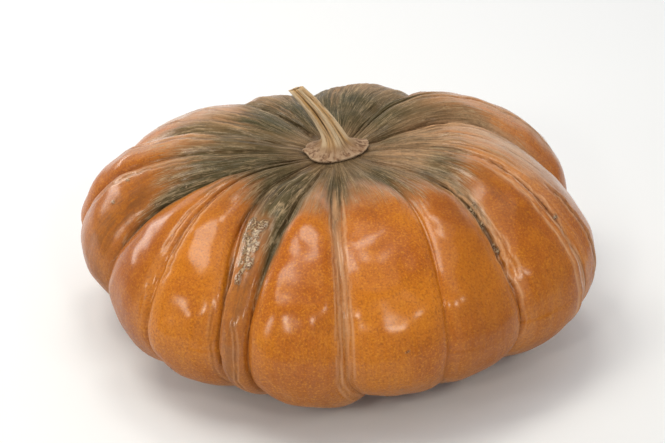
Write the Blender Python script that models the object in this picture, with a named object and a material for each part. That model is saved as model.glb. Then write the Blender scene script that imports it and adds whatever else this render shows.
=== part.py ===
"""A large flattened, deeply ribbed pumpkin with a dry, ridged stem.

Metres, +Z up. The pumpkin stands on z = 0 with the middle of its bounding box over the origin.
Its front faces -Y. An azimuth is in degrees, 0 at the front and growing to the right, towards +X.
"""
import math

import bmesh
import bpy
from mathutils import Vector

# Body under the ribs: an oval, flattened round that the grooves run over
GROOVE_RADIUS = 0.180        # mean radius at the equator
OVALNESS = 0.055             # share by which it is wider, and less deep, than that
CROWN_HEIGHT = 0.099         # equator to crown, before the top sinks in
BASE_DEPTH = 0.085           # equator to underside, before the hollow
CROWN_FULLNESS = 1.82        # superellipse exponents: 2 is an ellipse, more is boxier
BASE_FULLNESS = 1.93
CROWN_SHIFT = Vector((-0.005, 0.021))   # the stem end grew off centre, to the left and back
SUNKEN_DEPTH = 0.024         # hollow round the stem
SUNKEN_REACH = 0.095
HOLLOW_DEPTH = 0.018         # hollow underneath, round the blossom scar
HOLLOW_REACH = 0.055
SCAR_RADIUS = 0.011          # blossom scar, a low corky button in that hollow
SCAR_HEIGHT = 0.0025

# One row for each rib, going round to the right from the front:
# azimuth of the groove before it, how far that groove stands out (+) or in (-),
# height of the rib's crest over its grooves, and how far the groove swings round near the stem.
RIBS = (
    (2.0, -0.003, 0.0080, -3.0),
    (28.5, -0.003, 0.0080, 14.0),
    (50.0, -0.004, 0.0070, 17.0),
    (71.0, 0.013, 0.0115, 21.0),
    (103.5, -0.008, 0.0160, 16.0),
    (124.0, 0.017, 0.0095, 20.0),
    (148.5, -0.002, 0.0165, 3.0),
    (188.5, -0.007, 0.0110, 9.0),
    (220.0, -0.004, 0.0125, -6.0),
    (253.0, 0.009, 0.0120, 3.0),
    (266.0, 0.014, 0.0115, 12.0),
    (286.5, -0.006, 0.0100, 6.0),
    (310.5, 0.008, 0.0085, -11.0),
    (329.5, -0.003, 0.0090, -16.0),
    (337.0, -0.001, 0.0125, 1.0),
)
RIB_FLATNESS = 2.3           # how flat the rib's crest is
RIB_STEEPNESS = 0.7          # how steeply its sides drop into the grooves, less is steeper
RIB_FADE = 0.7               # how slowly ribs grow from the stem seat outwards, less is sooner
UNDERSIDE_FADE = 1.5         # the same from the middle of the underside
SWING_START = 0.30           # grooves swing between these shares of the radius
SWING_END = 1.05
LOW_SWING = 6.5              # degrees by which the front ribs swing round where they turn under
LOW_SWING_AT = 6.0           # azimuth where that is strongest
LOW_SWING_WIDTH = 24.0
LOW_SWING_REACH = 0.2        # share of the radius in which it builds up

SWELL = 0.009                # height of the broad swelling that two right-hand ribs share
SWELL_AT = 102.0             # its azimuth, and its half width in degrees
SWELL_WIDTH = 14.0
SWELL_SHARE = 0.60           # its place and half length in shares of the radius
SWELL_REACH = 0.25
SWELL_START = 0.12           # it builds up over this share outside the stem's seat

SEAT_RADIUS = 0.028          # flat seat that the stem's foot covers
STANDING_CUT = 0.004         # how much the lowest ribs are flattened by standing

# Stem
STEM_GAP = 0.0003            # clear of the seat
STEM_LEAN = Vector((-0.0310, 0.010, 0.0465))   # from the middle of the foot to the middle of the tip
STEM_BEND = 1.5              # 1 leans evenly; above 1 it stands up at the foot and leans over further up
STEM_RIDGES = 5
STEM_RADIUS = 0.0081
TIP_RADIUS = 0.0058
TIP_ROUNDING = 0.0010
RIDGE_HEIGHT = 0.18          # of the stem's radius
RIDGE_TWIST = 18.0           # degrees over the stem's length
RIDGE_START = 26.0           # azimuth of the first ridge at the foot
FOOT_BACK = 0.004            # the foot sits this far behind the middle of its seat
# The foot's lobed outline: angle round it from the front, to the right, and reach in mm
FOOT_OUTLINE = (
    (0, 21.0),
    (30, 18.6),
    (60, 20.4),
    (90, 25.5),
    (110, 27.0),
    (135, 20.0),
    (160, 17.0),
    (190, 19.5),
    (225, 17.0),
    (262, 25.0),
    (290, 24.6),
    (318, 27.0),
    (340, 24.4),
    (360, 21.0),
)
FOOT_EDGE = 0.0016           # thickness of the foot's thin rim
FOOT_FLARE = 0.075           # share of the length in which the foot narrows to the stem

# Mesh
COLUMNS_PER_RIB = 8
FRUIT_ROWS = 34
COLUMNS_PER_RIDGE = 8
STEM_ROWS = 16


def make_collection():
    collection = bpy.data.collections.new("pumpkin")
    bpy.context.scene.collection.children.link(collection)
    return collection


def make_material(name, color, roughness):
    material = bpy.data.materials.new(name)
    material.use_nodes = True
    shader = material.node_tree.nodes["Principled BSDF"]
    shader.inputs["Base Color"].default_value = (*color, 1.0)
    shader.inputs["Roughness"].default_value = roughness
    shader.inputs["Metallic"].default_value = 0.0
    return material


def add_object(name, bm, material, collection):
    mesh = bpy.data.meshes.new(name)
    bm.to_mesh(mesh)
    bm.free()
    mesh.materials.append(material)
    mesh.shade_smooth()
    mesh.set_sharp_from_angle(angle=math.radians(50))
    obj = bpy.data.objects.new(name, mesh)
    collection.objects.link(obj)
    return obj


def smooth_step(value):
    value = min(max(value, 0.0), 1.0)
    return value * value * (3.0 - 2.0 * value)


def rib_column(column):
    """Give a column's rib and its place across it, 0 to 1, with columns closest beside the grooves."""
    rib = column // COLUMNS_PER_RIB
    across = (column % COLUMNS_PER_RIB) / COLUMNS_PER_RIB
    return rib, 0.5 - 0.5 * math.cos(math.pi * across)


def row_angle(row):
    """Give a row's angle down from the crown. Row 1 is the rim of the flat seat."""
    seat_angle = math.asin((SEAT_RADIUS / GROOVE_RADIUS) ** (CROWN_FULLNESS / 2.0))
    return seat_angle + (math.pi - seat_angle) * max(row - 1, 0) / (FRUIT_ROWS - 1)


def skin_point(rib, across, angle):
    """Give a point of the skin: on a rib, 0 to 1 across it, at an angle down from the crown."""
    azimuth, floor, crest, swing = RIBS[rib]
    next_azimuth, next_floor, _, next_swing = RIBS[(rib + 1) % len(RIBS)]
    next_azimuth += 360.0 if next_azimuth < azimuth else 0.0
    azimuth += (next_azimuth - azimuth) * across
    floor += (next_floor - floor) * across
    swing += (next_swing - swing) * across

    upper = angle < math.pi / 2.0
    fullness = CROWN_FULLNESS if upper else BASE_FULLNESS
    height = CROWN_HEIGHT if upper else BASE_DEPTH
    sine = math.sin(angle)
    cosine = math.cos(angle)
    share = sine ** (2.0 / fullness)
    oval = 1.0 - OVALNESS * math.cos(2.0 * math.radians(azimuth))
    radius = GROOVE_RADIUS * oval * share
    z = math.copysign(height * abs(cosine) ** (2.0 / fullness), cosine)

    normal = Vector((
        sine ** (2.0 - 2.0 / fullness) / GROOVE_RADIUS,
        math.copysign(abs(cosine) ** (2.0 - 2.0 / fullness) / height, cosine),
    )).normalized()
    x_across = abs(2.0 * across - 1.0)
    seat_share = SEAT_RADIUS / GROOVE_RADIUS
    if upper:
        growth = (max(share - seat_share, 0.0) / (1.0 - seat_share)) ** RIB_FADE
    else:
        growth = share ** UNDERSIDE_FADE
    relief = (floor + crest * (1.0 - x_across ** RIB_FLATNESS) ** RIB_STEEPNESS) * growth
    if upper:
        aside = (azimuth - SWELL_AT) / SWELL_WIDTH
        ahead = (share - SWELL_SHARE) / SWELL_REACH
        clear = smooth_step((share - seat_share) / SWELL_START)
        relief += SWELL * clear * math.exp(-aside ** 2 - ahead ** 2)
    radius += relief * normal.x
    if upper:
        z -= SUNKEN_DEPTH * math.exp(-(GROOVE_RADIUS * share / SUNKEN_REACH) ** 2)
        swing *= smooth_step((SWING_END - share) / (SWING_END - SWING_START))
        azimuth += swing
    else:
        z += HOLLOW_DEPTH * math.exp(-(GROOVE_RADIUS * share / HOLLOW_REACH) ** 2)
        off = (azimuth - LOW_SWING_AT + 180.0) % 360.0 - 180.0
        low_swing = LOW_SWING * math.exp(-(off / LOW_SWING_WIDTH) ** 2)
        azimuth += low_swing * smooth_step((1.0 - share) / LOW_SWING_REACH)
        if radius < SCAR_RADIUS:
            z -= SCAR_HEIGHT
    z += relief * normal.y

    turn = math.radians(azimuth)
    shift = CROWN_SHIFT * math.cos(angle / 2.0) ** 2
    return Vector((radius * math.sin(turn) + shift.x, shift.y - radius * math.cos(turn), z))


def make_fruit(material, collection):
    """Shape a ball into the ribbed fruit, flatten what it stands on, and centre it over the origin."""
    columns = COLUMNS_PER_RIB * len(RIBS)
    bm = bmesh.new()
    bmesh.ops.create_uvsphere(bm, u_segments=columns, v_segments=FRUIT_ROWS, radius=1.0)
    for vertex in bm.verts:
        row = round(FRUIT_ROWS * math.acos(max(min(vertex.co.z, 1.0), -1.0)) / math.pi)
        turn = math.atan2(vertex.co.x, -vertex.co.y)
        column = round(columns * turn / math.tau) % columns
        rib, across = rib_column(column)
        if row == 0:
            across = 0.0
            rib = 0
        vertex.co = skin_point(rib, across, row_angle(row))
        if row == 0:
            vertex.co.x = CROWN_SHIFT.x
            vertex.co.y = CROWN_SHIFT.y
        elif row == FRUIT_ROWS:
            vertex.co.x = 0.0
            vertex.co.y = 0.0

    low = Vector(min(vertex.co[axis] for vertex in bm.verts) for axis in range(3))
    high = Vector(max(vertex.co[axis] for vertex in bm.verts) for axis in range(3))
    place = Vector((-(low.x + high.x) / 2.0, -(low.y + high.y) / 2.0, -low.z - STANDING_CUT))
    bmesh.ops.translate(bm, vec=place, verts=bm.verts)
    bmesh.ops.bisect_plane(
        bm,
        geom=bm.verts[:] + bm.edges[:] + bm.faces[:],
        dist=0.00002,
        plane_co=(0.0, 0.0, 0.0),
        plane_no=(0.0, 0.0, 1.0),
        clear_inner=True,
    )
    bmesh.ops.holes_fill(bm, edges=[edge for edge in bm.edges if edge.is_boundary], sides=0)
    bmesh.ops.recalc_face_normals(bm, faces=bm.faces)
    add_object("fruit", bm, material, collection)

    seat = skin_point(0, 0.0, row_angle(1))
    return Vector((CROWN_SHIFT.x, CROWN_SHIFT.y, seat.z)) + place


def foot_reach(turn):
    """Give the foot's radius at an angle round it."""
    degrees = math.degrees(turn) % 360.0
    for (start, near), (end, far) in zip(FOOT_OUTLINE, FOOT_OUTLINE[1:]):
        if degrees <= end:
            break
    return (near + (far - near) * smooth_step((degrees - start) / (end - start))) / 1000.0


def stem_way(along):
    """Give the direction of the stem's middle line, 0 to 1 from its foot to its tip."""
    return Vector((STEM_LEAN.x * STEM_BEND * along ** (STEM_BEND - 1.0), STEM_LEAN.y, STEM_LEAN.z)).normalized()


def stem_point(turn, along, foot):
    """Give a point of the stem's side: at an angle round it, and 0 to 1 from its foot to its tip."""
    flare = math.exp(-along / FOOT_FLARE)
    twist = math.radians(RIDGE_START + RIDGE_TWIST * along)
    ridge = math.cos(STEM_RIDGES * (turn - twist))
    column = (STEM_RADIUS + (TIP_RADIUS - STEM_RADIUS) * along) * (1.0 + RIDGE_HEIGHT * ridge)
    radius = column + (foot_reach(turn) - column) * flare
    centre = foot + Vector((STEM_LEAN.x * along ** STEM_BEND, STEM_LEAN.y * along, STEM_LEAN.z * along))
    tilt = Vector((0.0, 0.0, 1.0)).lerp(stem_way(along), smooth_step(along * 2.5)).normalized()
    side = Vector((0.0, 1.0, 0.0)).cross(tilt).normalized()
    back = tilt.cross(side)
    return centre + side * (radius * math.sin(turn)) - back * (radius * math.cos(turn))


def make_stem(seat, material, collection):
    """Flare, ridge and lean a cylinder over the fruit's seat."""
    columns = STEM_RIDGES * COLUMNS_PER_RIDGE
    bm = bmesh.new()
    bmesh.ops.create_cone(
        bm, cap_ends=True, cap_tris=False, segments=columns, radius1=1.0, radius2=1.0, depth=float(STEM_ROWS)
    )
    sides = [edge for edge in bm.edges if abs(edge.verts[0].co.z - edge.verts[1].co.z) > 1.0]
    bmesh.ops.subdivide_edges(bm, edges=sides, cuts=STEM_ROWS - 1, use_grid_fill=True)
    foot = seat + Vector((0.0, FOOT_BACK, STEM_GAP))
    for vertex in bm.verts:
        row = round(vertex.co.z + STEM_ROWS / 2.0)
        turn = math.atan2(vertex.co.x, -vertex.co.y)
        along = (max(row - 1, 0) / (STEM_ROWS - 1)) ** 1.4
        vertex.co = stem_point(turn, along, foot)
        if row > 0:
            vertex.co.z += FOOT_EDGE * (1.0 - along)
        if row == STEM_ROWS:
            centre = foot + STEM_LEAN
            vertex.co -= (vertex.co - centre).normalized() * TIP_ROUNDING
            vertex.co += stem_way(1.0) * TIP_ROUNDING
    bmesh.ops.recalc_face_normals(bm, faces=bm.faces)
    add_object("stem", bm, material, collection)


def main():
    for obj in list(bpy.data.objects):
        bpy.data.objects.remove(obj)
    collection = make_collection()
    skin = make_material("pumpkin skin", (0.42, 0.13, 0.025), 0.42)
    stalk = make_material("dry stalk", (0.33, 0.23, 0.13), 0.85)
    seat = make_fruit(skin, collection)
    make_stem(seat, stalk, collection)


main()
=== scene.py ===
import math
import random

import bmesh
import bpy
import numpy as np
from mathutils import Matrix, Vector, noise


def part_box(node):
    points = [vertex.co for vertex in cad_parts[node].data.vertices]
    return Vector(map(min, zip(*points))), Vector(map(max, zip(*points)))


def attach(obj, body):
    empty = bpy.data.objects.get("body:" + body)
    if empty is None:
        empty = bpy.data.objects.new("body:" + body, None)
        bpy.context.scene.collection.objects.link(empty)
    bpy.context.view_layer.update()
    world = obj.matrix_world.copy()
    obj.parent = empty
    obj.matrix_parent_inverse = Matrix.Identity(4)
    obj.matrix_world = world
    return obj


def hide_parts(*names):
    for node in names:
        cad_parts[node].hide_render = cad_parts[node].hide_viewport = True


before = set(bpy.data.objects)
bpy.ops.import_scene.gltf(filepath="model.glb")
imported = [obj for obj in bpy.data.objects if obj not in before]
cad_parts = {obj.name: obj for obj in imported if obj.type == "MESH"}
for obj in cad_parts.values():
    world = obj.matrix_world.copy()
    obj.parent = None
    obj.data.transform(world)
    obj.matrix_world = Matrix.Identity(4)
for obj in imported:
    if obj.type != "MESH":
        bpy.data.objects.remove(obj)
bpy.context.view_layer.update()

scene = bpy.context.scene

mm = 0.001
grainGain = 1.6  # brings Blender's noise to about -1 to 1
grainShift = np.array((7.31, 3.17, 5.53))  # moves it for each seed


def srgb(red, green, blue):  # a colour as a paint chart gives it, 0 to 255, for a shader
    made = []
    for value in (red, green, blue):
        value /= 255
        made.append(value / 12.92 if value < 0.04045 else ((value + 0.055) / 1.055) ** 2.4)
    return tuple(made)


def smooth(value):  # 0 to 1 with soft ends
    value = np.clip(value, 0, 1)
    return value * value * (3 - 2 * value)


def bell(off):
    return np.exp(-off ** 2)


def signed(degrees):  # an angle as -180 to 180
    return (degrees + 180) % 360 - 180


def asMask(value):  # -1 to 1 as 0 to 1
    return np.clip(0.5 + 0.5 * value, 0, 1)


def unit(vectors):
    return vectors / np.linalg.norm(vectors, axis=-1, keepdims=True)


def grain(points, size, seed):  # soft noise, about -1 to 1, at a size in metres
    places = points / size + grainShift * seed
    return np.array(list(map(noise.noise, places.tolist()))) * grainGain


def rounded(name, columns, rows):  # a grid closed into a ball, whose vertices are then moved
    edge, gap = 0.9999, 0.00001
    bm = bmesh.new()
    bmesh.ops.create_grid(bm, x_segments=columns, y_segments=rows, size=1)
    joined = []
    for vertex in bm.verts:
        turn = (vertex.co.x + 1) * math.pi
        down = (1 - vertex.co.y) * math.pi / 2
        if abs(vertex.co.x) > edge or abs(vertex.co.y) > edge:
            joined.append(vertex)
        around = math.sin(down)
        vertex.co = (around * math.sin(turn), -around * math.cos(turn), math.cos(down))
    bmesh.ops.remove_doubles(bm, verts=joined, dist=gap)
    bmesh.ops.recalc_face_normals(bm, faces=bm.faces)
    mesh = bpy.data.meshes.new(name)
    bm.to_mesh(mesh)
    bm.free()
    ball = np.empty(len(mesh.vertices) * 3)
    mesh.vertices.foreach_get("co", ball)
    ball = ball.reshape(-1, 3)
    row = np.rint(rows * np.arccos(np.clip(ball[:, 2], -1, 1)) / math.pi).astype(int)
    column = np.rint(columns * np.arctan2(ball[:, 0], -ball[:, 1]) / math.tau).astype(int) % columns
    return mesh, row, column


def placed(mesh, points):
    mesh.vertices.foreach_set("co", np.ascontiguousarray(points, dtype=np.float32).ravel())
    mesh.update()


def normals(mesh):
    made = np.empty(len(mesh.vertices) * 3, dtype=np.float32)
    mesh.vertex_normals.foreach_get("vector", made)
    return made.reshape(-1, 3)


def stored(mesh, name, values):  # kept on the vertices for the material
    kind, key = ("FLOAT_VECTOR", "vector") if values.ndim == 2 else ("FLOAT", "value")
    attribute = mesh.attributes.new(name, kind, "POINT")
    attribute.data.foreach_set(key, np.ascontiguousarray(values, dtype=np.float32).ravel())


# the ribbed body, as the CAD has it
body = {
    "grooveRadius": 0.180, "ovalness": 0.055, "crownHeight": 0.099, "baseDepth": 0.085,
    "crownFullness": 1.82, "baseFullness": 1.93, "crownShift": (-0.005, 0.021),
    "sunkenDepth": 0.024, "sunkenReach": 0.095, "hollowDepth": 0.018, "hollowReach": 0.055,
    "ribFlatness": 2.3, "ribSteepness": 0.7, "ribFade": 0.7, "undersideFade": 1.5,
    "deepFlatness": 2.5, "deepAt": 0.42, "deepReach": 0.20,  # where the grooves are cut deeper
    "swingStart": 0.30, "swingEnd": 1.05,
    "lowSwing": 6.5, "lowSwingAt": 6.0, "lowSwingWidth": 24.0, "lowSwingReach": 0.2,
    "swell": 0.009, "swellAt": 102.0, "swellWidth": 14.0,
    "swellShare": 0.60, "swellReach": 0.25, "swellStart": 0.12,
    # the blossom scar: its edge and slope are shares of its radius
    "scarRadius": 0.011, "scarHeight": 0.0025, "scarEdge": 1.15, "scarSlope": 0.3,
    "corkEdge": 1.2, "corkSlope": 0.25, "scarLine": 0.0014, "scarDarkness": 0.8,
    "seatRadius": 0.024, "standingCut": 0.004,
    "columnsPerRib": 40, "upperRows": 98, "lowerRows": 62, "crowding": 0.4, "lineSteps": 400,
}

# each rib, to the right from the front: azimuth of the groove before it, how far that groove stands out,
# height of the crest, swing near the stem, then how far out the olive reaches in that groove and on the
# crest, how dark the groove's line is, how wrinkled its lips are, how much deeper it is halfway to the
# stem, and the rib's shade tone, how light its painted shade leaves the skin (1 for no shade)
ribColumns = ("azimuth", "groove", "crest", "swing", "grooveReach", "crestReach", "darkness", "lips",
              "deeper", "tone")
ribs = (
    (2.0, -0.003, 0.0070, -3.0, 0.55, 0.29, 0.15, 0.25, 0.000, 1.00),
    (28.5, -0.003, 0.0080, 14.0, 0.42, 0.37, 0.25, 0.15, 0.000, 0.68),
    (50.0, -0.004, 0.0070, 17.0, 0.76, 0.47, 0.45, 0.50, 0.001, 0.80),
    (71.0, 0.013, 0.0115, 21.0, 0.42, 0.46, 0.30, 0.90, 0.001, 0.86),
    (103.5, -0.008, 0.0160, 16.0, 0.80, 0.55, 0.90, 0.30, 0.002, 0.88),
    (124.0, 0.017, 0.0095, 20.0, 0.68, 0.56, 0.20, 0.20, 0.001, 0.92),
    (148.5, -0.002, 0.0165, 3.0, 0.95, 0.76, 0.60, 0.30, 0.006, 0.95),
    (188.5, -0.007, 0.0110, 9.0, 0.98, 0.72, 0.70, 0.30, 0.004, 0.95),
    (220.0, -0.004, 0.0125, -6.0, 0.90, 0.58, 0.60, 0.30, 0.004, 0.92),
    (253.0, 0.009, 0.0120, 3.0, 0.86, 0.56, 0.60, 0.50, 0.003, 0.92),
    (266.0, 0.014, 0.0115, 12.0, 0.60, 0.56, 0.40, 0.40, 0.001, 0.74),
    (286.5, -0.006, 0.0100, 6.0, 0.92, 0.46, 0.80, 0.20, 0.003, 0.70),
    (310.5, 0.008, 0.0085, -11.0, 0.44, 0.42, 0.50, 0.40, 0.000, 1.00),
    (329.5, -0.003, 0.0090, -16.0, 0.52, 0.62, 0.80, 0.30, 0.001, 0.80),
    (337.0, -0.001, 0.0125, 1.0, 0.86, 0.35, 0.45, 0.20, 0.001, 1.00),
)
ribTable = dict(zip(ribColumns, np.array(ribs).T))


def ribValue(name, rib, share):  # from the groove before a rib to the one after it
    first, last = ribTable[name][rib], ribTable[name][(rib + 1) % len(ribs)]
    return first + (last - first) * share


def ribWidth(rib):  # in degrees
    start, end = ribTable["azimuth"][rib], ribTable["azimuth"][(rib + 1) % len(ribs)]
    return end + np.where(end < start, 360.0, 0.0) - start


def crownCurve(angle):  # the curve of crown and base at an angle down from the crown
    upper = angle < math.pi / 2
    fullness = np.where(upper, body["crownFullness"], body["baseFullness"])
    height = np.where(upper, body["crownHeight"], body["baseDepth"])
    share = np.sin(angle) ** (2 / fullness)
    z = np.sign(np.cos(angle)) * height * np.abs(np.cos(angle)) ** (2 / fullness)
    return fullness, height, share, z


def ribbedSkin(rib, across, angle):  # gives the place, the rim azimuth and the share of the rim's radius
    azimuth = ribTable["azimuth"][rib] + ribWidth(rib) * across
    rim = azimuth
    upper = angle < math.pi / 2
    fullness, height, share, z = crownCurve(angle)
    radius = body["grooveRadius"] * (1 - body["ovalness"] * np.cos(2 * np.radians(azimuth))) * share

    # the ribs stand out square to that curve
    sine, cosine = np.sin(angle), np.cos(angle)
    out = sine ** (2 - 2 / fullness) / body["grooveRadius"]
    up = np.sign(cosine) * np.abs(cosine) ** (2 - 2 / fullness) / height
    length = np.hypot(out, up)
    seatShare = body["seatRadius"] / body["grooveRadius"]
    growth = np.where(
        upper,
        (np.maximum(share - seatShare, 0) / (1 - seatShare)) ** body["ribFade"],
        share ** body["undersideFade"],
    )
    beside = np.abs(2 * across - 1)
    crown = (1 - beside ** body["ribFlatness"]) ** body["ribSteepness"]
    relief = (ribValue("groove", rib, across) + ribTable["crest"][rib] * crown) * growth
    deeper = ribValue("deeper", rib, across > 0.5) * beside ** body["deepFlatness"]
    relief -= deeper * bell((share - body["deepAt"]) / body["deepReach"]) * upper
    sideways = (azimuth - body["swellAt"]) / body["swellWidth"]
    ahead = (share - body["swellShare"]) / body["swellReach"]
    clear = smooth((share - seatShare) / body["swellStart"]) * upper
    relief += body["swell"] * clear * np.exp(-sideways ** 2 - ahead ** 2)
    radius = radius + relief * out / length
    z = z + relief * up / length

    # the sunken top, the hollow underneath and its scar
    seated = body["grooveRadius"] * np.maximum(share, seatShare)
    sunken = body["sunkenDepth"] * bell(seated / body["sunkenReach"])
    hollow = body["hollowDepth"] * bell(body["grooveRadius"] * share / body["hollowReach"])
    toEdge = body["scarRadius"] * body["scarEdge"] - radius
    button = body["scarHeight"] * smooth(toEdge / (body["scarRadius"] * body["scarSlope"]))
    z = z + np.where(upper, -sunken, hollow - button)

    # the grooves swing aside near the stem and, in front, near the scar
    turned = smooth((body["swingEnd"] - share) / (body["swingEnd"] - body["swingStart"]))
    under = body["lowSwing"] * bell(signed(azimuth - body["lowSwingAt"]) / body["lowSwingWidth"])
    below = under * smooth((1 - share) / body["lowSwingReach"])
    azimuth = azimuth + np.where(upper, ribValue("swing", rib, across) * turned, below)
    shift = np.cos(angle / 2) ** 2
    turn = np.radians(azimuth)
    points = np.column_stack((
        radius * np.sin(turn) + body["crownShift"][0] * shift,
        body["crownShift"][1] * shift - radius * np.cos(turn),
        z,
    ))
    return points, rim % 360, share


# folds in the skin: rim azimuth at the start and end, run at the start and end (0 stem, 1 rim,
# 2 underside), half width and depth in mm, height of the lips in mm, wobble in degrees, paleness of the
# lips, darkness inside
folds = (
    (71.0, 71.5, 0.34, 0.66, 1.3, 0.8, 0.5, 0.6, 0.6, 0.5),    # the rope-like fold between the right ribs
    (71.8, 70.4, 0.56, 1.12, 1.1, 1.7, 1.3, 0.6, 1.0, 0.9),
    (69.4, 68.2, 0.62, 1.08, 1.6, -1.5, 0.0, 0.7, 1.0, 0.0),
    (77.0, 76.0, 0.35, 0.80, 1.0, 0.6, 0.3, 0.5, 0.5, 0.6),
    (79.0, 77.6, 0.80, 1.06, 1.5, 1.5, 1.2, 0.9, 1.0, 0.7),    # short fold out on the right
    (97.0, 92.0, 0.35, 0.92, 1.2, 0.9, 0.4, 0.4, 0.4, 0.8),    # lines along the grey band
    (100.5, 97.0, 0.35, 0.95, 1.1, 0.8, 0.4, 0.4, 0.4, 0.8),
    (88.0, 84.0, 0.38, 0.85, 1.0, 0.6, 0.3, 0.6, 0.3, 0.6),
    (118.0, 113.0, 0.45, 1.05, 1.4, 1.0, 0.4, 0.8, 0.5, 0.5),
    (311.5, 312.5, 0.60, 0.95, 1.4, 1.2, 0.6, 0.6, 0.6, 0.4),
    (306.5, 308.5, 0.55, 0.90, 1.1, 0.7, 0.3, 0.5, 0.4, 0.3),
    (330.4, 329.8, 0.66, 1.30, 0.9, 1.5, 0.3, 0.4, 0.45, 0.9),  # the dark crack beside the warty rib
    (327.6, 327.2, 0.90, 1.25, 0.7, 0.4, 0.2, 0.4, 0.20, 0.4),
    (334.5, 334.0, 0.94, 1.10, 0.8, 0.5, 0.2, 1.0, 0.40, 0.5),
    (0.6, 0.4, 0.30, 1.20, 1.0, 0.35, 0.15, 0.4, 0.7, 0.3),
    (3.6, 3.2, 0.26, 1.10, 1.0, 0.30, 0.15, 0.4, 0.7, 0.3),
    (49.0, 50.5, 0.40, 1.05, 1.3, 0.9, 0.5, 0.9, 0.9, 0.5),
    (52.0, 52.5, 0.55, 0.95, 1.0, 0.6, 0.5, 0.8, 0.9, 0.4),
    (272.0, 270.0, 0.50, 1.00, 1.3, 0.8, 0.4, 0.6, 0.5, 0.4),
    (260.0, 258.0, 0.45, 0.95, 1.3, 0.8, 0.4, 0.6, 0.5, 0.5),
    (246.0, 243.0, 0.35, 0.90, 1.2, 0.7, 0.4, 0.6, 0.5, 0.6),
    (238.0, 235.0, 0.35, 0.85, 1.1, 0.6, 0.3, 0.6, 0.4, 0.5),
    (215.0, 213.0, 0.35, 0.90, 1.2, 0.7, 0.3, 0.6, 0.4, 0.5),
    (175.0, 177.0, 0.35, 0.90, 1.2, 0.7, 0.3, 0.8, 0.4, 0.5),
    (138.0, 137.0, 0.40, 0.95, 1.2, 0.7, 0.3, 0.8, 0.4, 0.5),
)
foldShape = {
    "reach": 14,       # degrees to each side
    "waves": 34.0, "apart": 4.7, "waveSeed": 9, "waveHeight": 0.96,
    "endFade": 5,      # a fifth of the fold at each end
    "lipAt": 1.9, "lipWidth": 0.8,
}

# pale grey and tan bands: rim azimuth at the start and end, run at the start and end, half width in
# degrees, strength
bands = (
    (91.5, 93.0, 0.22, 1.02, 16.0, 1.10),
    (117.0, 117.0, 0.35, 1.15, 7.0, 0.80),
    (133.0, 131.0, 0.50, 1.05, 9.0, 0.70),
    (165.0, 167.0, 0.50, 1.05, 14.0, 0.60),
    (205.0, 206.0, 0.50, 1.05, 11.0, 0.55),
    (237.0, 237.0, 0.45, 1.00, 10.0, 0.80),
    (260.0, 259.0, 0.45, 0.98, 4.0, 0.50),
    (270.0, 269.0, 0.55, 0.98, 3.0, 0.45),
    (2.2, 2.0, 0.28, 1.12, 1.8, 0.68),
    (331.4, 331.4, 0.42, 0.86, 0.9, 0.40),
    (50.5, 51.0, 0.30, 0.90, 2.5, 0.30),
    (346.0, 348.0, 0.18, 0.58, 9.0, 0.45),
    (16.0, 14.0, 0.18, 0.50, 10.0, 0.26),
    (38.0, 36.0, 0.20, 0.60, 8.0, 0.10),
    (62.0, 60.0, 0.14, 0.44, 20.0, 0.70),
)
bandShape = {
    "stem": 0.30, "stemEnd": 0.28, "stemFade": 0.12,        # grey round the stem
    "edge": 0.60, "edgeAt": 1.26, "edgeWidth": 0.20,        # paler lower edge, a painted reflection of the pale floor
    "ground": 0.30, "groundStart": 1.50, "groundFade": 0.20,    # paler underside, a painted reflection of the pale floor
    "squareness": 3, "endFade": 3, "startLead": 0.2,
}

# brown stains in the orange skin: rim azimuth, run, half width in degrees, half length in run, strength
stains = (
    (281.0, 0.88, 5.0, 0.17, 0.85),
    (274.0, 0.74, 6.0, 0.12, 0.35),
    (333.2, 0.84, 3.2, 0.26, 0.90),
    (62.0, 0.66, 8.0, 0.18, 0.50),
    (44.0, 0.60, 5.0, 0.16, 0.40),
    (318.0, 0.56, 8.0, 0.16, 0.45),
    (84.0, 0.78, 7.0, 0.20, 0.45),
    (350.0, 0.46, 9.0, 0.12, 0.40),
    (14.0, 0.42, 9.0, 0.14, 0.40),
    (260.0, 0.70, 6.0, 0.16, 0.45),
    (238.0, 0.78, 8.0, 0.18, 0.40),
)

# warts, corky scars and small dots: how many, rim azimuth, run, how they crowd towards the stem, radius,
# height as a share of it, how much longer than wide
blemishes = (
    (52, (331.0, 334.2), (0.62, 0.86), 2, (0.0006, 0.0017), 0.40, (1.6, 3.6)),
    (8, (49.0, 52.0), (0.64, 0.92), 2, (0.0007, 0.0015), 0.20, (1.6, 3.6)),
    (26, (0, 360), (0.55, 1.25), 1, (0.0006, 0.0015), 0.35, (0.9, 1.4)),
)
blemishShape = {
    "seed": 11, "runReach": 0.08, "turnReach": 6,  # the skin that one can touch, in run and degrees
    "dome": 1.15, "domeFullness": 0.6, "crustEdge": 1.6,
}


def foldedSkin(rim, run, radius):
    depth, pale, dark = np.zeros(len(rim)), np.zeros(len(rim)), np.zeros(len(rim))
    for number, fold in enumerate(folds):
        start, end, low, high, width, deep, lips, wobble, paleness, darkness = fold
        along = (run - low) / (high - low)
        near = (np.abs(signed(rim - start)) < foldShape["reach"]) & (along > 0) & (along < 1)
        some = np.nonzero(near)[0]
        part = along[some]
        waveAt = np.outer(run[some], (foldShape["waves"], 0, 0)) + (0, number * foldShape["apart"], 0)
        wave = grain(waveAt, size=1, seed=foldShape["waveSeed"]) * foldShape["waveHeight"]
        line = start + (end - start) * part + wobble * wave
        off = np.radians(signed(rim[some] - line)) * radius[some] / (width * mm)
        fade = smooth(part * foldShape["endFade"]) * smooth((1 - part) * foldShape["endFade"])
        middle = bell(off) * fade
        side = bell((np.abs(off) - foldShape["lipAt"]) / foldShape["lipWidth"]) * fade
        depth[some] += (lips * side - deep * middle) * mm
        pale[some] = np.maximum(pale[some], paleness * side)
        dark[some] = np.maximum(dark[some], darkness * middle)
    return depth, pale, dark


# pale bands and grey round the stem, with a painted reflection of the floor on the lower edge and underside
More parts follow.
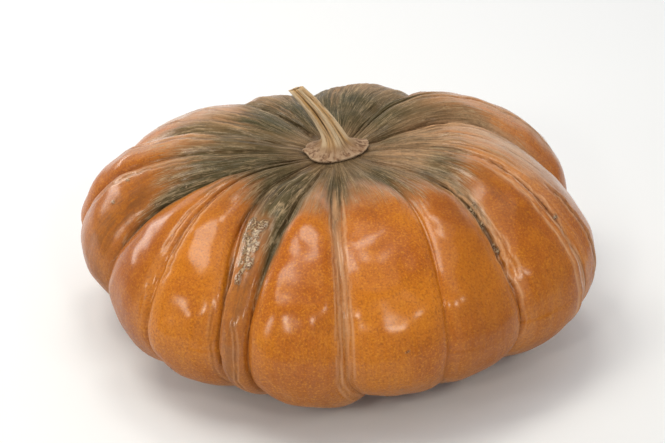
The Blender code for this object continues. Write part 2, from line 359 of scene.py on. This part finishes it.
def bandedSkin(rim, run):
    shape = bandShape
    haze = shape["stem"] * smooth((shape["stemEnd"] - run) / shape["stemFade"])
    haze = np.maximum(haze, shape["edge"] * bell((run - shape["edgeAt"]) / shape["edgeWidth"]))
    haze = np.maximum(haze, shape["ground"] * smooth((run - shape["groundStart"]) / shape["groundFade"]))
    for start, end, low, high, width, strength in bands:
        along = (run - low) / (high - low)
        off = signed(rim - start - (end - start) * along) / width
        fade = smooth(along * shape["endFade"] + shape["startLead"]) * smooth((1 - along) * shape["endFade"])
        haze = np.maximum(haze, strength * np.exp(-np.abs(off) ** shape["squareness"]) * fade)
    return haze


def stainedSkin(rim, run):
    made = np.zeros(len(rim))
    for azimuth, at, width, length, strength in stains:
        off = signed(rim - azimuth) / width
        made += strength * np.exp(-off ** 2 - ((run - at) / length) ** 2)
    return made


def crustedSkin(rim, run, arc, radius):  # the blemishes, as heights and as a mask
    draw = random.Random(blemishShape["seed"])
    spots = []
    for count, azimuths, runs, crowding, sizes, tallness, stretches in blemishes:
        for _ in range(count):
            size = draw.uniform(*sizes)
            azimuth = draw.uniform(*azimuths)
            at = runs[0] + (runs[1] - runs[0]) * draw.random() ** crowding
            spots.append((azimuth, at, size, size * tallness, draw.uniform(*stretches)))
    height, crust = np.zeros(len(rim)), np.zeros(len(rim))
    order = np.argsort(run)
    ordered = run[order]
    for azimuth, at, size, tall, stretch in spots:
        ends = (at - blemishShape["runReach"], at + blemishShape["runReach"])
        low, high = np.searchsorted(ordered, ends)
        some = order[low:high]
        some = some[np.abs(signed(rim[some] - azimuth)) < blemishShape["turnReach"]]
        centre = np.interp(at, run[some], arc[some])
        sideways = np.radians(signed(rim[some] - azimuth)) * radius[some]
        off = np.hypot(sideways, (arc[some] - centre) / stretch) / size
        dome = np.clip(blemishShape["dome"] - off ** 2, 0, 1)
        height[some] = np.maximum(height[some], tall * dome ** blemishShape["domeFullness"])
        crust[some] = np.maximum(crust[some], smooth(dome * blemishShape["crustEdge"]))
    return height, crust


def skinLength(angle):  # length of skin from the stem, for patterns that follow the ribs
    steps = np.linspace(0, math.pi, body["lineSteps"])
    _, _, share, z = crownCurve(steps)
    lengths = np.cumsum(np.hypot(np.diff(body["grooveRadius"] * share), np.diff(z)))
    return np.interp(angle, steps, np.concatenate(([0], lengths)))


# low relief of the skin, in metres
skinRelief = {
    "leastRadius": 0.002,
    "lumps": 0.0011, "lumpSize": 0.045, "dents": 0.0006, "dentSize": 0.017,
    "stria": 0.0010, "striaTurns": 26.0, "striaLength": 0.045, "striaStart": 1.3,
    "finer": (2.3, 2.3, 1.4), "finerShare": 0.35, "striaRadius": 0.09, "striaLeast": 0.25,
    "wrinkle": 0.0004, "wrinkleTurns": 34, "wrinkleLength": 0.006,
    "groove": 0.0012, "grooveWidth": 0.0022, "lipAt": 0.006, "lipWidth": 0.005, "lipPaleness": 0.35,
    "softerFrom": 0.82, "softerFade": 0.25, "softer": 0.55,  # the grooves' lines fade below the rim
    "start": 0.12, "end": 2.0, "endFade": 0.1, "endLead": 0.2,
    "standing": 0.0007,  # the lowest ribs are pressed flat where they stand, softly at the edge
}

# olive and grey round the stem, further out in the grooves
oliveTop = {
    "flatness": 2.6, "cloud": 0.045, "cloudSize": 0.03, "stria": 0.04,
    "fade": 0.34, "wideFade": 0.50, "wideLead": 0.14, "wideShare": 0.25,
}


def makeFruit():
    perRib, upperRows, lowerRows = body["columnsPerRib"], body["upperRows"], body["lowerRows"]
    rows = upperRows + lowerRows
    mesh, row, column = rounded("fruit_skin", perRib * len(ribs), rows)
    angle = np.where(row <= upperRows, row / upperRows, 1 + (row - upperRows) / lowerRows) * math.pi / 2
    rib = column // perRib
    across = (column % perRib) / perRib
    crowded = 0.5 - 0.5 * np.cos(math.pi * across)  # columns closer beside the grooves
    across = across * (1 - body["crowding"]) + crowded * body["crowding"]
    points, rim, share = ribbedSkin(rib, across, angle)
    upper = angle < math.pi / 2
    run = np.where(upper, share, 2 - share)
    arc = skinLength(angle)
    top, bottom = row == 0, row == rows
    points[top, :2] = body["crownShift"]
    points[bottom, :2] = 0

    low, high = points.min(0), points.max(0)
    middle = (low + high) / 2
    middle[2] = low[2] + body["standingCut"]
    points -= middle
    placed(mesh, points)
    facing = normals(mesh)

    shape = skinRelief
    radius = np.maximum(body["grooveRadius"] * share, shape["leastRadius"])
    turn = np.radians(rim)
    ring = np.column_stack((np.cos(turn), np.sin(turn)))
    striaAt = np.column_stack((ring * shape["striaTurns"], arc / shape["striaLength"]))
    stria = (1 - shape["finerShare"]) * grain(striaAt, size=1, seed=1)
    stria += shape["finerShare"] * grain(striaAt * shape["finer"], size=1, seed=2)

    crestReach = ribTable["crestReach"][rib]
    grooveReach = ribValue("grooveReach", rib, smooth(across))
    beside = np.abs(2 * across - 1) ** oliveTop["flatness"]
    within = crestReach + (grooveReach - crestReach) * beside - run
    within += oliveTop["cloud"] * grain(points, oliveTop["cloudSize"], seed=3) + oliveTop["stria"] * stria
    olive = (1 - oliveTop["wideShare"]) * smooth(0.5 + within / oliveTop["fade"])
    olive += oliveTop["wideShare"] * smooth(0.5 + (within + oliveTop["wideLead"]) / oliveTop["wideFade"])

    toGroove = np.radians(ribWidth(rib) * np.minimum(across, 1 - across)) * radius
    groove = (rib + (across >= 0.5)) % len(ribs)
    softer = 1 - shape["softer"] * smooth((run - shape["softerFrom"]) / shape["softerFade"])
    line = bell(toGroove / shape["grooveWidth"]) * ribTable["darkness"][groove] * softer
    lips = bell((toGroove - shape["lipAt"]) / shape["lipWidth"]) * ribTable["lips"][groove]

    fold, pale, dark = foldedSkin(rim, run, radius)
    crustHeight, crust = crustedSkin(rim, run, arc, radius)
    wrinkleAt = np.column_stack((ring * shape["wrinkleTurns"], arc / shape["wrinkleLength"]))
    striaFade = smooth(olive * shape["striaStart"])
    striaFade *= np.clip(radius / shape["striaRadius"], shape["striaLeast"], 1)
    ends = smooth((run - shape["start"]) / shape["endFade"])
    ends *= smooth((shape["end"] - run) / shape["endFade"] + shape["endLead"])
    detail = (
        shape["lumps"] * grain(points, shape["lumpSize"], seed=6)
        + shape["dents"] * grain(points, shape["dentSize"], seed=7)
        + shape["stria"] * stria * striaFade
        + shape["wrinkle"] * grain(wrinkleAt, size=1, seed=5) * lips
        - shape["groove"] * line
        + fold
    ) * ends + crustHeight
    points = points + facing * detail[:, None]
    points[:, 2] = shape["standing"] * np.logaddexp(points[:, 2] / shape["standing"], 0)

    # kept inside the CAD solid's box
    low, high = (np.array(corner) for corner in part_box("fruit"))
    for axis in range(3):
        inside = min(1, high[axis] / points[:, axis].max())
        if axis < 2:
            inside = min(inside, low[axis] / points[:, axis].min())
        points[:, axis] *= inside
    placed(mesh, points)
    mesh.shade_smooth()

    fromScar = np.hypot(*(points - points[bottom]).T[:2])
    scarRadius = body["scarRadius"]
    scar = smooth((scarRadius * body["corkEdge"] - fromScar) / (scarRadius * body["corkSlope"])) * ~upper
    scarLine = bell((fromScar - scarRadius * body["scarEdge"]) / body["scarLine"]) * ~upper
    stored(mesh, "flow", np.column_stack((ring * body["grooveRadius"], arc)))
    stored(mesh, "olive", olive)
    stored(mesh, "stria", asMask(stria))
    stored(mesh, "crust", crust)
    stored(mesh, "scar", scar)
    stored(mesh, "line", np.clip(line + dark + body["scarDarkness"] * scarLine, 0, 1))
    stored(mesh, "pale", np.clip(pale + shape["lipPaleness"] * lips, 0, 1))
    stored(mesh, "haze", bandedSkin(rim, run))
    stored(mesh, "stain", stainedSkin(rim, run))
    # painted shade: each rib darkened by its shade tone, least beside the grooves
    tone = ribTable["tone"][rib]
    stored(mesh, "tone", tone + (1 - tone) * beside)
    piece = bpy.data.objects.new("fruit_skin", mesh)
    scene.collection.objects.link(piece)
    return piece


stalkShape = {
    # from the middle of the foot to the middle of the cut end, on a bent line
    "lean": (-0.0308, 0.0112, 0.0470), "bend": 1.5, "leanStart": 2.5,
    "radius": 0.0079, "tipRadius": 0.0044,
    "ridges": 5, "ridgeHeight": 0.20, "twist": 18.0, "ridgeStart": 26.0, "ridgeSharpness": 0.8,
    "sharpStart": 6, "ridgelet": 0.22, "ridgeletTurn": 0.6,
    "footEdge": 0.0016, "edgeRise": 60, "edgeCalm": 0.3, "footFlare": 0.070,
    "footLift": 0.12, "liftRadius": 0.022,
    # outline of the foot: turn from the front in degrees, reach in mm
    "footOutline": (
        (0, 20.2), (12, 19.2), (28, 18.6), (42, 18.9), (60, 20.4), (76, 22.8), (94, 25.8), (108, 27.0),
        (116, 26.6), (126, 22.6), (140, 18.4), (160, 17.0), (180, 19.0), (196, 19.6), (214, 17.4),
        (238, 18.0), (252, 21.9), (264, 23.6), (274, 24.6), (281, 26.4), (289, 24.8), (298, 24.4),
        (308, 25.4), (318, 25.8), (328, 24.8), (342, 22.8), (352, 21.2),
    ),
    "columns": 200, "underRows": 6, "sideRows": 110, "endRows": 9, "rowCrowding": 1.7,
    "underCurve": 0.5, "underShare": 0.985, "endCurve": 0.6,
    # the end is cut level from side to side, and slopes back
    "endLevel": 0.45, "endTilt": 0.40, "levelStart": 0.6,
    "endCap": 0.0009, "endHollow": 0.0022, "hollowEven": 1.2, "hollowFibres": 0.5,
    # fibres round and along the stalk: turns, lengths, seed, share
    "fibreNoise": ((5.5, 2.2, 21, 0.6), (12, 3.5, 22, 0.4)),
    "fibre": 0.00096, "wrinkle": 0.0005, "furrowFibres": 0.5, "rimRows": 3.0, "flowLength": 0.058,
    "footSlice": 0.0002,  # how much of the CAD stem's foot gives its middle
}


def makeStalk(seat):
    shape = stalkShape
    rows = shape["underRows"] + shape["sideRows"] + shape["endRows"]
    mesh, row, column = rounded("stalk", shape["columns"], rows)
    row = rows - row  # row 0 is the middle of the underside
    turn = column * math.tau / shape["columns"]
    side = np.clip((row - shape["underRows"]) / shape["sideRows"], 0, 1)
    along = side ** shape["rowCrowding"]
    cut = side >= 1
    under = np.clip(row / shape["underRows"], 0, 1) ** shape["underCurve"] * shape["underShare"]
    inward = np.clip((rows - row) / shape["endRows"], 0, 1) ** shape["endCurve"]
    scale = np.where(row < shape["underRows"], under, 1.0) * np.where(cut, inward, 1.0)

    # ridges, soft at the foot and sharp above it
    phase = shape["ridges"] * (turn - np.radians(shape["ridgeStart"] + shape["twist"] * along))
    sharp = 1 - 2 * (1 - np.abs(np.cos(phase / 2)) ** shape["ridgeSharpness"])
    sharp += shape["ridgelet"] * np.cos(2 * phase + shape["ridgeletTurn"])
    sharpening = smooth(along * shape["sharpStart"])
    ridge = np.cos(phase) * (1 - sharpening) + sharp * sharpening
    ring = np.column_stack((np.cos(turn), np.sin(turn)))
    fibres = np.zeros(len(turn))
    for turns, lengths, seed, part in shape["fibreNoise"]:
        fibres += grain(np.column_stack((ring * turns, along * lengths)), size=1, seed=seed) * part

    shaft = shape["radius"] + (shape["tipRadius"] - shape["radius"]) * along
    shaft = shaft * (1 + shape["ridgeHeight"] * ridge) + shape["fibre"] * fibres
    outline = np.array(shape["footOutline"])
    foot = np.interp(np.degrees(turn), outline[:, 0], outline[:, 1], period=360) * mm
    foot += shape["wrinkle"] * fibres
    flare = np.exp(-along / shape["footFlare"])
    radius = (shaft + (foot - shaft) * flare) * scale

    # the rings stand level at the foot, and square to the middle line above it
    lean, bend = np.array(shape["lean"]), shape["bend"]
    centre = seat + np.column_stack((lean[0] * along ** bend, lean[1] * along, lean[2] * along))
    slope = lean[0] * bend * along ** (bend - 1)
    way = unit(np.column_stack((slope, np.full(len(along), lean[1]), np.full(len(along), lean[2]))))
    leaning = smooth(along * shape["leanStart"])[:, None]
    tilt = unit(np.array((0, 0, 1.0)) * (1 - leaning) + way * leaning)
    sideways = unit(np.cross(np.array((0, 1.0, 0)), tilt))
    backward = np.cross(tilt, sideways)
    points = centre + sideways * (radius * np.sin(turn))[:, None]
    points -= backward * (radius * np.cos(turn))[:, None]

    # the foot's edge, its raised lobes and its wrinkles
    calm = 1 - shape["edgeCalm"] * (row == shape["underRows"] + 1)
    points[:, 2] += shape["footEdge"] * smooth(side * shape["edgeRise"]) * (1 - along)
    points[:, 2] += shape["footLift"] * np.maximum(radius - shape["liftRadius"], 0)
    points[:, 2] += shape["wrinkle"] * fibres * flare * (side > 0) * calm

    higher = points[:, 2] - centre[:, 2] + shape["endTilt"] * (points[:, 1] - centre[:, 1])
    levelled = smooth((along - shape["levelStart"]) / (1 - shape["levelStart"]))
    tipWay = lean * (bend, 1, 1)
    points -= np.outer(higher * levelled * shape["endLevel"] / lean[2], tipWay)
    hollow = shape["endHollow"] * (1 - scale) * (shape["hollowEven"] + shape["hollowFibres"] * fibres)
    points[cut] += unit(tipWay) * (shape["endCap"] - hollow[cut])[:, None]
    placed(mesh, points)
    mesh.shade_smooth()
    bm = bmesh.new()
    bm.from_mesh(mesh)
    bmesh.ops.recalc_face_normals(bm, faces=bm.faces)
    bm.to_mesh(mesh)
    bm.free()

    stored(mesh, "flow", np.column_stack((ring * shape["radius"], along * shape["flowLength"])))
    stored(mesh, "furrow", asMask(-ridge - shape["furrowFibres"] * fibres) * (1 - flare))
    stored(mesh, "foot", flare)
    stored(mesh, "rim", bell((row - shape["underRows"]) / shape["rimRows"]))
    stored(mesh, "fibres", asMask(fibres))
    stored(mesh, "cut", np.where(cut, 1 - scale, 0))
    piece = bpy.data.objects.new("stalk", mesh)
    scene.collection.objects.link(piece)
    return piece


class Wire:  # an output socket, so that shader maths reads as sums
    def __init__(self, look, socket):
        self.look, self.socket = look, socket

    def __add__(self, other):
        return self.look.maths("ADD", self, other)

    def __sub__(self, other):
        return self.look.maths("SUBTRACT", self, other)

    def __rsub__(self, other):
        return self.look.maths("SUBTRACT", other, self)

    def __mul__(self, other):
        return self.look.maths("MULTIPLY", self, other)

    __radd__ = __add__
    __rmul__ = __mul__


class Look:  # a material and its nodes
    def __init__(self, name):
        self.material = bpy.data.materials.new(name)
        self.material.use_nodes = True
        self.tree = self.material.node_tree
        self.shader = self.tree.nodes["Principled BSDF"]

    def feed(self, socket, value):
        if isinstance(value, Wire):
            self.tree.links.new(value.socket, socket)
        elif isinstance(value, tuple) and socket.type == "RGBA":
            socket.default_value = (*value, 1)
        else:
            socket.default_value = value

    def node(self, kind, settings=None, inputs=None, output=0):
        made = self.tree.nodes.new(kind)
        for name, value in (settings or {}).items():
            setattr(made, name, value)
        for name, value in (inputs or {}).items():
            self.feed(made.inputs[name], value)
        return Wire(self, made.outputs[output])

    def maths(self, operation, *values):
        return self.node("ShaderNodeMath", {"operation": operation}, dict(enumerate(values)))

    def mix(self, factor, one, other):
        settings = {"data_type": "RGBA", "blend_type": "MIX", "clamp_factor": True}
        return self.node("ShaderNodeMix", settings, {0: factor, 6: one, 7: other}, 2)

    def step(self, value, start, full):
        inputs = {"Value": value, "From Min": start, "From Max": full}
        return self.node("ShaderNodeMapRange", {"interpolation_type": "SMOOTHSTEP"}, inputs)

    def layer(self, color, value, paint, mask=1.0):  # a colour laid on where a value passes its step
        start, full, amount, shade = paint
        return self.mix(self.step(value, start, full) * amount * mask, color, shade)

    def noise(self, vector, scale, detail, roughness):
        inputs = {"Vector": vector, "Scale": scale, "Detail": detail, "Roughness": roughness}
        return self.node("ShaderNodeTexNoise", {}, inputs)

    def strands(self, vector, stretch, scale, detail, roughness):  # a noise drawn out along the skin
        drawn = self.node("ShaderNodeVectorMath", {"operation": "MULTIPLY"}, {0: vector, 1: (1, 1, stretch)})
        return self.noise(drawn, scale, detail, roughness)

    def swayed(self, value, noises, amounts):  # a value with noises added, each about zero
        for part, amount in zip(noises, amounts):
            value = value + (part - 0.5) * amount
        return value

    def attribute(self, name, output="Fac"):
        return self.node("ShaderNodeAttribute", {"attribute_name": name}, {}, output)

    def bump(self, layers):  # each layer: height, distance in metres, strength
        normal = None
        for height, (distance, strength) in layers:
            inputs = {"Height": height, "Distance": distance, "Strength": strength}
            if normal is not None:
                inputs["Normal"] = normal
            normal = self.node("ShaderNodeBump", {}, inputs)
        return normal

    def finish(self, **sockets):
        for name, value in sockets.items():
            words = []
            for letter in name:
                words.append(" " + letter if letter.isupper() else letter)
            title = "".join(words).title().replace("Ior", "IOR")
            self.feed(self.shader.inputs[title], value)
        return self.material


skinLook = {
    # noises: size per metre, detail, roughness
    "broad": (16, 3, 0.55), "patch": (70, 3, 0.6), "fine": (600, 3, 0.7), "pores": (1300, 2, 0.6),
    "hammered": (125, 2, 0.5),
    # strands, with their stretch along the rib first
    "streak": (0.10, 330, 3, 0.6), "thread": (0.06, 800, 3, 0.6),
    "wave": (0.09, 210, 2, 0.55), "ripple": (0.10, 420, 2, 0.5),
    # layers of colour: value where one starts, value where it is full, amount, colour
    "burnt": srgb(176, 92, 2),
    "orange": (0.34, 0.66, 1.0, srgb(201, 116, 5)), "golden": (0.50, 0.80, 0.40, srgb(210, 130, 10)),
    # low: painted shade, the skin darker towards the bottom
    "low": (0.095, 0.0, 0.90, srgb(116, 60, 8)), "speck": (0.52, 0.66, 0.60, srgb(218, 142, 20)),
    "freckle": (0.48, 0.34, 0.44, srgb(118, 56, 2)), "brown": (0.08, 0.50, 0.82, srgb(142, 92, 42)),
    "oliveGrey": (0.35, 0.62, 1.0, srgb(74, 70, 47)), "oliveDark": (0.46, 0.22, 0.75, srgb(44, 36, 20)),
    "ridgePale": (0.56, 0.82, 0.60, srgb(168, 150, 120)), "lip": (0.25, 0.55, 0.8, srgb(216, 166, 122)),
    "line": (0.75, 0.35, 0.85, srgb(70, 38, 14)), "cork": (0.40, 0.60, 1.0, srgb(168, 134, 92)),
    # deep: the colour of the painted shade on the ribs
    "oliveWarm": srgb(88, 68, 36), "deep": srgb(118, 56, 2), "crust": srgb(208, 180, 144),
    # haze: pale grey-tan of the bands, also the painted reflection of the floor low down
    "stain": srgb(112, 70, 32), "haze": srgb(196, 154, 118), "vein": srgb(198, 172, 136),
    # stains, and haze with its painted floor reflection: amount everywhere, more where the step is passed,
    # its start and end
    "stainCover": (0.35, 0.5, 0.62, 0.40), "stainNoise": 0.8,
    "hazeAndReflectionCover": (0.30, 0.65, 0.15, 0.75),
    # how noises break up the olive top: broad, streak, patch, fine, and in its lines streak, thread, fine
    "spread": (0.30, 0.30, 0.25, 0.25), "ragged": (0.28, 0.90), "greyer": 0.3,
    "lineLevel": 0.26, "lineStria": 0.48, "lineNoise": (0.9, 0.9, 0.45),
    # fine pale veins: middle of the noise, half width at the edge and in the middle, amount
    "veins": (0.5, 0.035, 0.006, 0.38), "hairs": (0.53, 0.040, 0.008, 0.36),
    "veinsWithin": (0.06, 0.34), "veinPatches": (0.75, 1.10), "hazeVeins": 0.4,
    "flakes": (0.42, 0.56), "flakeAmount": 0.85, "crustGround": 0.35, "corkNoise": 0.6,
    # bumps: height in metres, strength
    "fineBump": (0.0007, 0.55), "flakeBump": (0.0012, 0.8), "veinBump": (0.0006, 0.7), "hairShare": 0.6,
    "threadBump": (0.0008, 0.5), "streakBump": (0.0014, 0.5), "hammeredBump": (0.0024, 0.62),
    "poreBump": (0.0003, 0.25),
    "roughness": 0.45, "fineRoughness": 0.2, "topRoughness": 0.15, "crustRoughness": 0.15,
    "specular": 0.03, "sheen": 0.03, "sheenRoughness": 0.35,
    # the wax, dulled low down and on the olive top
    "coat": 0.85, "dulled": 0.10, "coatRoughness": 0.20, "coatHeight": (0.02, 0.115), "coatLost": 0.75,
}


def makeSkin():
    look, paint = Look("pumpkin_skin"), skinLook
    spot = look.node("ShaderNodeTexCoord", output="Object")
    flow = look.attribute("flow", "Vector")
    olive, stria = look.attribute("olive"), look.attribute("stria")
    line, pale, crust = look.attribute("line"), look.attribute("pale"), look.attribute("crust")
    haze, tone, stain = look.attribute("haze"), look.attribute("tone"), look.attribute("stain")
    height = look.node("ShaderNodeSeparateXYZ", {}, {0: spot}, 2)
    broad, patch = look.noise(spot, *paint["broad"]), look.noise(spot, *paint["patch"])
    fine, pores = look.noise(spot, *paint["fine"]), look.noise(spot, *paint["pores"])
    hammered = look.noise(spot, *paint["hammered"])
    streak, thread = look.strands(flow, *paint["streak"]), look.strands(flow, *paint["thread"])

    # the speckled orange
    color = look.layer(paint["burnt"], broad, paint["orange"])
    color = look.layer(color, patch, paint["golden"])
    # painted shade: the skin darker towards the bottom, by height
    color = look.layer(color, height, paint["low"])
    color = look.layer(color, fine, paint["speck"])
    color = look.layer(color, fine, paint["freckle"])
    # painted shade on each rib, towards the deep colour
    color = look.mix(1.0 - tone, color, paint["deep"])
    ground, more, start, full = paint["stainCover"]
    blotch = look.step(look.swayed(streak, (patch,), (paint["stainNoise"],)), start, full)
    color = look.mix(stain * (ground + blotch * more), color, paint["stain"])

    # the striped olive top
    spread = look.swayed(olive, (broad, streak, patch, fine), paint["spread"])
    color = look.layer(color, spread, paint["brown"])
    ragged = look.step(spread, *paint["ragged"])
    lines = paint["lineLevel"] + stria * paint["lineStria"]
    lines = look.swayed(lines, (streak, thread, fine), paint["lineNoise"])
    greyer = look.swayed(broad, (olive,), (paint["greyer"],))
    green = look.layer(paint["oliveWarm"], greyer, paint["oliveGrey"])
    green = look.layer(green, lines, paint["oliveDark"])
    green = look.layer(green, lines, paint["ridgePale"])
    color = look.mix(ragged, color, green)
    ground, more, start, full = paint["hazeAndReflectionCover"]
    # pale bands, and painted reflection of the floor on the lower edge and underside
    color = look.mix(haze * (ground + look.step(lines, start, full) * more), color, paint["haze"])

    # thin pale lines, where two noises pass their middle
    near = look.step(olive + haze * paint["hazeVeins"], *paint["veinsWithin"])
    near = near * look.step(patch + broad, *paint["veinPatches"])
    middle, edge, full, veinAmount = paint["veins"]
    wave = look.maths("ABSOLUTE", look.strands(flow, *paint["wave"]) - middle)
    veins = look.step(wave, edge, full) * near
    middle, edge, full, hairAmount = paint["hairs"]
    ripple = look.maths("ABSOLUTE", look.strands(flow, *paint["ripple"]) - middle)
    hairs = look.step(ripple, edge, full) * near
    color = look.mix(veins * veinAmount + hairs * hairAmount, color, paint["vein"])

    # lips, grooves, crust and the blossom scar
    dark = paint["line"][3]
    color = look.layer(color, streak, paint["lip"], pale)
    color = look.layer(color, streak, paint["line"], line)
    flakes = crust * look.step(fine, *paint["flakes"])
    color = look.mix(crust * paint["crustGround"], color, dark)
    color = look.mix(flakes * paint["flakeAmount"], color, paint["crust"])
    cork = look.layer(dark, look.swayed(patch, (fine,), (paint["corkNoise"],)), paint["cork"])
    color = look.mix(look.attribute("scar"), color, cork)

    rough = look.swayed(paint["roughness"], (fine,), (paint["fineRoughness"],))
    rough = rough + ragged * paint["topRoughness"] + crust * paint["crustRoughness"]
    dimples = look.bump((
        (fine, paint["fineBump"]),
        (flakes, paint["flakeBump"]),
        (veins + hairs * paint["hairShare"], paint["veinBump"]),
        (thread * ragged, paint["threadBump"]),
        (streak * ragged, paint["streakBump"]),
        (hammered, paint["hammeredBump"]),
        (pores, paint["poreBump"]),
    ))
    wax = paint["dulled"] + look.step(height, *paint["coatHeight"]) * (paint["coat"] - paint["dulled"])
    wax = wax * (1.0 - ragged * paint["coatLost"])
    return look.finish(
        baseColor=color, roughness=rough, normal=dimples, coatWeight=wax,
        coatRoughness=paint["coatRoughness"], specularIorLevel=paint["specular"],
        sheenWeight=paint["sheen"], sheenRoughness=paint["sheenRoughness"],
    )


stalkLook = {
    "mottle": (260, 3, 0.65), "fine": (900, 3, 0.6),
    "strand": (0.07, 1100, 4, 0.62), "wide": (0.12, 300, 3, 0.6),
    # layers of colour, as for the skin
    "golden": srgb(196, 152, 90), "tan": (0.38, 0.62, 1.0, srgb(206, 172, 130)),
    "ridge": (0.40, 0.10, 0.75, srgb(214, 194, 164)), "palest": (0.53, 0.66, 0.65, srgb(214, 194, 164)),
    "dark": (0.48, 0.33, 0.70, srgb(74, 50, 28)), "base": (0.03, 0.30, 0.8, srgb(142, 110, 78)),
    "furrow": (0.50, 0.9, 0.85, srgb(74, 50, 28)), "cut": (0.05, 0.4, 1.0, srgb(112, 88, 58)),
    "foot": srgb(140, 108, 80), "footPale": (0.60, 0.90, 1.0, srgb(164, 136, 110)),
    "footDark": (0.50, 0.36, 0.75, srgb(92, 62, 40)), "rim": (0.35, 0.55, 0.7, srgb(206, 182, 154)),
    "footReach": (0.20, 0.6), "footFibres": 0.5, "raggedness": (0.8,),
    "strandBump": (0.0009, 0.6), "mottleBump": (0.0012, 0.5), "fineBump": (0.0004, 0.4),
    "roughness": 0.82, "fineRoughness": (0.2,),
}


def makeStalkLook():
    look, paint = Look("dry_stalk"), stalkLook
    spot = look.node("ShaderNodeTexCoord", output="Object")
    flow = look.attribute("flow", "Vector")
    furrow, foot = look.attribute("furrow"), look.attribute("foot")
    fibres, cut, rim = look.attribute("fibres"), look.attribute("cut"), look.attribute("rim")
    strand, wide = look.strands(flow, *paint["strand"]), look.strands(flow, *paint["wide"])
    fine, mottle = look.noise(spot, *paint["fine"]), look.noise(spot, *paint["mottle"])
    color = look.layer(paint["golden"], wide, paint["tan"])
    color = look.layer(color, look.swayed(furrow, (wide,), paint["raggedness"]), paint["ridge"])
    color = look.layer(color, strand, paint["palest"])
    color = look.layer(color, strand, paint["dark"])
    color = look.layer(color, foot, paint["base"])
    skirt = look.layer(paint["foot"], fibres * paint["footFibres"] + mottle, paint["footPale"])
    skirt = look.layer(skirt, look.swayed(mottle, (strand,), paint["raggedness"]), paint["footDark"])
    skirt = look.layer(skirt, mottle, paint["rim"], rim)
    color = look.mix(look.step(foot, *paint["footReach"]), color, skirt)
    color = look.layer(color, furrow, paint["furrow"])
    color = look.layer(color, cut, paint["cut"])
    bumps = look.bump((
        (strand, paint["strandBump"]),
        (mottle, paint["mottleBump"]),
        (fine, paint["fineBump"]),
    ))
    rough = look.swayed(paint["roughness"], (fine,), paint["fineRoughness"])
    return look.finish(baseColor=color, roughness=rough, normal=bumps)


fruit = makeFruit()
print("fruit", len(fruit.data.polygons), "faces")
fruit.data.materials.append(makeSkin())
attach(fruit, "root")
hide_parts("fruit")

# the stalk stands on the middle of the CAD stem's own foot
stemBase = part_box("stem")[0].z
stemPoints = np.array([vertex.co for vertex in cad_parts["stem"].data.vertices])
footPoints = stemPoints[stemPoints[:, 2] < stemBase + stalkShape["footSlice"]]
seatMiddle = np.array((footPoints[:, 0].mean(), footPoints[:, 1].mean(), stemBase))
stalk = makeStalk(seatMiddle)
print("stalk", len(stalk.data.polygons), "faces, seat", seatMiddle)
stalk.data.materials.append(makeStalkLook())
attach(stalk, "root")
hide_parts("stem")


studio = {
    "floor": srgb(240, 245, 253), "floorSize": 8.0, "floorDrop": 0.0005, "floorRoughness": 0.9,
    "world": 0.36, "warmth": (1.0, 0.95, 0.87), "aim": (0, 0, 0.08),
    "spotWarmth": (1.0, 0.92, 0.77), "spotSize": 0.8,  # lamps under this width, in metres, are warmer
    # softboxes: azimuth to the right of the front, elevation, distance, width, height, power
    "boxes": (
        (-84, 67, 1.6, 0.76, 0.62, 8.6),
        (178, 77, 1.6, 0.46, 0.38, 4.0),
        (-20, 36, 1.9, 0.20, 0.20, 3.2),
        (20, 41, 1.9, 0.22, 0.22, 3.0),
        (46, 43, 1.9, 0.18, 0.18, 1.8),
        (-52, 26, 1.8, 0.24, 0.24, 2.2),
        (-124, 17, 1.75, 0.95, 0.36, 6.5),
        (180, 20, 2.2, 3.4, 1.4, 13),
        (0, 89, 2.3, 2.0, 2.0, 8),
    ),
}


def makeStudio():
    bm = bmesh.new()
    bmesh.ops.create_grid(bm, x_segments=1, y_segments=1, size=studio["floorSize"] / 2)
    mesh = bpy.data.meshes.new("floor")
    bm.to_mesh(mesh)
    bm.free()
    floor = bpy.data.objects.new("floor", mesh)
    scene.collection.objects.link(floor)
    floor.location.z = -studio["floorDrop"]
    look = Look("floor_paper")
    mesh.materials.append(look.finish(baseColor=studio["floor"], roughness=studio["floorRoughness"]))
    for number, (azimuth, elevation, distance, width, height, power) in enumerate(studio["boxes"]):
        light = bpy.data.lights.new(f"softbox{number}", "AREA")
        light.shape, light.size, light.size_y, light.energy = "RECTANGLE", width, height, power
        light.color = studio["spotWarmth"] if width < studio["spotSize"] else studio["warmth"]
        lamp = bpy.data.objects.new(f"softbox{number}", light)
        scene.collection.objects.link(lamp)
        turn, lift = math.radians(azimuth), math.radians(elevation)
        away = Vector((math.sin(turn) * math.cos(lift), -math.cos(turn) * math.cos(lift), math.sin(lift)))
        lamp.location = Vector(studio["aim"]) + away * distance
        lamp.rotation_euler = away.to_track_quat("Z", "Y").to_euler()
    world = bpy.data.worlds.new("studio")
    world.use_nodes = True
    background = world.node_tree.nodes["Background"]
    background.inputs["Color"].default_value = (1, 1, 1, 1)
    background.inputs["Strength"].default_value = studio["world"]
    scene.world = world
    scene.view_settings.view_transform = "Standard"
    print("studio", len(studio["boxes"]), "softboxes")


# the photograph's frame, in its pixels, and where the camera stands
view = {
    "target": (0.0059, -0.0110, 0.0761), "elevation": 34.1, "distance": 1.5, "focalPixels": 1878.0,
    "width": 665, "height": 443, "centreX": 342.6, "centreY": 244.9, "sensor": 36.0,
}


def makeCamera():
    camera = bpy.data.cameras.new("photo_view")
    holder = bpy.data.objects.new("photo_view", camera)
    scene.collection.objects.link(holder)
    tilt = math.radians(view["elevation"])
    back = Vector((0, -math.cos(tilt), math.sin(tilt)))
    holder.location = Vector(view["target"]) + back * view["distance"]
    holder.rotation_euler = (math.pi / 2 - tilt, 0, 0)
    camera.sensor_width = view["sensor"]
    camera.lens = view["focalPixels"] / view["width"] * view["sensor"]
    camera.shift_x = -(view["centreX"] - view["width"] / 2) / view["width"]
    camera.shift_y = (view["centreY"] - view["height"] / 2) / view["width"]
    scene.camera = holder


makeStudio()
makeCamera()
